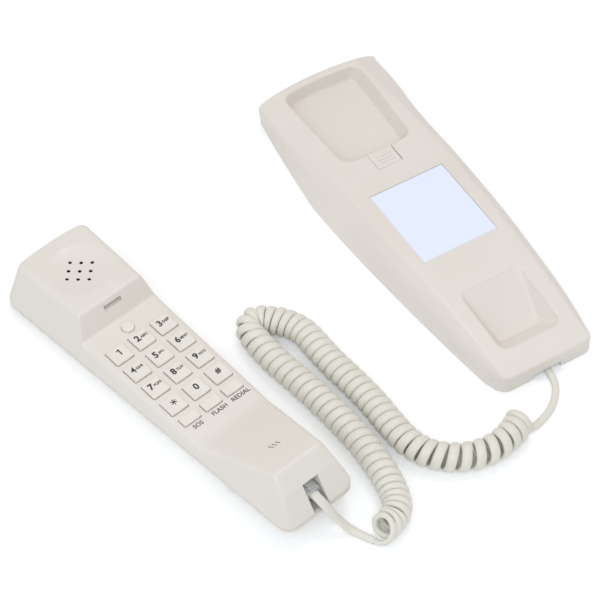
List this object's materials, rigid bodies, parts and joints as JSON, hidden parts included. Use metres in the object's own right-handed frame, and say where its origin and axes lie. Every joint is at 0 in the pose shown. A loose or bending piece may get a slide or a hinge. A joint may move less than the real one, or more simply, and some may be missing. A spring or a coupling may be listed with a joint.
{
  "type": "wall telephone",
  "caption": "Slimline push-button wall telephone: long tapered base with ear and mouth pockets, handset with the keypad in its grip, and a curly cord between them.",
  "frame": {"origin": "centre of the base's flat back, at half its length", "axes": "+X to the base's right, +Y to its ear end, +Z out of its face; the base and the handset lie face up on the plane z = 0"},
  "size_m": [0.2479, 0.2667, 0.0366],
  "materials": {
    "cream_shell": "satin",
    "cream_key": "satin",
    "cord": "satin",
    "clear": "gloss",
    "card": "matte",
    "jack": "matte",
    "board": "satin",
    "mat": "matte",
    "screw": "brushed",
    "weight": "matte",
    "capsule": "satin"
  },
  "bodies": {
    "base": {"base_housing": "cream_shell", "back_plate": "cream_shell", "memo_card": "card", "card_cover": "clear", "base_screws": "screw", "base_board": "board", "base_board_screws": "screw", "ringer": "jack", "line_jack": "jack", "base_jack": "jack", "base_plug": "clear", "base_lead": "cord", "curly_cord": "cord", "handset_lead": "cord"},
    "hook": {"wall_hook": "cream_shell"},
    "handset": {"handset_face": "cream_shell", "handset_back": "cream_shell", "handset_screws": "screw", "handset_board": "board", "handset_board_screws": "screw", "keypad_mat": "mat", "hook_switch": "jack", "receiver_capsule": "jack", "microphone_capsule": "capsule", "balance_weight": "weight", "handset_jack": "jack", "handset_plug": "clear"},
    "key_1": {"key_1": "cream_key"},
    "key_2": {"key_2": "cream_key"},
    "key_3": {"key_3": "cream_key"},
    "key_4": {"key_4": "cream_key"},
    "key_5": {"key_5": "cream_key"},
    "key_6": {"key_6": "cream_key"},
    "key_7": {"key_7": "cream_key"},
    "key_8": {"key_8": "cream_key"},
    "key_9": {"key_9": "cream_key"},
    "key_star": {"key_star": "cream_key"},
    "key_0": {"key_0": "cream_key"},
    "key_hash": {"key_hash": "cream_key"},
    "key_sos": {"key_sos": "cream_key"},
    "key_flash": {"key_flash": "cream_key"},
    "key_redial": {"key_redial": "cream_key"},
    "button": {"hook_button": "cream_key"}
  },
  "joints": [
    {"name": "handset_lift", "type": "slide", "parent": "base", "child": "handset", "axis": [0, 0, 1], "range_m": [0, 0.12], "deforming": ["curly_cord", "base_lead", "handset_lead"]},
    {"name": "hook_slide", "type": "slide", "parent": "base", "child": "hook", "axis": [0, 1, 0], "range_m": [0, 0.006]},
    {"name": "key_1_press", "type": "slide", "parent": "handset", "child": "key_1", "axis": [0, 0, -1], "range_m": [0, 0.0012], "stiffness_N_per_m": 160, "springref_m": -0.0008},
    {"name": "key_2_press", "type": "slide", "parent": "handset", "child": "key_2", "axis": [0, 0, -1], "range_m": [0, 0.0012], "stiffness_N_per_m": 160, "springref_m": -0.0008},
    {"name": "key_3_press", "type": "slide", "parent": "handset", "child": "key_3", "axis": [0, 0, -1], "range_m": [0, 0.0012], "stiffness_N_per_m": 160, "springref_m": -0.0008},
    {"name": "key_4_press", "type": "slide", "parent": "handset", "child": "key_4", "axis": [0, 0, -1], "range_m": [0, 0.0012], "stiffness_N_per_m": 160, "springref_m": -0.0008},
    {"name": "key_5_press", "type": "slide", "parent": "handset", "child": "key_5", "axis": [0, 0, -1], "range_m": [0, 0.0012], "stiffness_N_per_m": 160, "springref_m": -0.0008},
    {"name": "key_6_press", "type": "slide", "parent": "handset", "child": "key_6", "axis": [0, 0, -1], "range_m": [0, 0.0012], "stiffness_N_per_m": 160, "springref_m": -0.0008},
    {"name": "key_7_press", "type": "slide", "parent": "handset", "child": "key_7", "axis": [0, 0, -1], "range_m": [0, 0.0012], "stiffness_N_per_m": 160, "springref_m": -0.0008},
    {"name": "key_8_press", "type": "slide", "parent": "handset", "child": "key_8", "axis": [0, 0, -1], "range_m": [0, 0.0012], "stiffness_N_per_m": 160, "springref_m": -0.0008},
    {"name": "key_9_press", "type": "slide", "parent": "handset", "child": "key_9", "axis": [0, 0, -1], "range_m": [0, 0.0012], "stiffness_N_per_m": 160, "springref_m": -0.0008},
    {"name": "key_star_press", "type": "slide", "parent": "handset", "child": "key_star", "axis": [0, 0, -1], "range_m": [0, 0.0012], "stiffness_N_per_m": 160, "springref_m": -0.0008},
    {"name": "key_0_press", "type": "slide", "parent": "handset", "child": "key_0", "axis": [0, 0, -1], "range_m": [0, 0.0012], "stiffness_N_per_m": 160, "springref_m": -0.0008},
    {"name": "key_hash_press", "type": "slide", "parent": "handset", "child": "key_hash", "axis": [0, 0, -1], "range_m": [0, 0.0012], "stiffness_N_per_m": 160, "springref_m": -0.0008},
    {"name": "key_sos_press", "type": "slide", "parent": "handset", "child": "key_sos", "axis": [0, 0, -1], "range_m": [0, 0.0012], "stiffness_N_per_m": 160, "springref_m": -0.0008},
    {"name": "key_flash_press", "type": "slide", "parent": "handset", "child": "key_flash", "axis": [0, 0, -1], "range_m": [0, 0.0012], "stiffness_N_per_m": 160, "springref_m": -0.0008},
    {"name": "key_redial_press", "type": "slide", "parent": "handset", "child": "key_redial", "axis": [0, 0, -1], "range_m": [0, 0.0012], "stiffness_N_per_m": 160, "springref_m": -0.0008},
    {"name": "hook_button_press", "type": "slide", "parent": "handset", "child": "button", "axis": [0, 0, -1], "range_m": [0, 0.0019], "stiffness_N_per_m": 120, "springref_m": -0.0008}
  ]
}
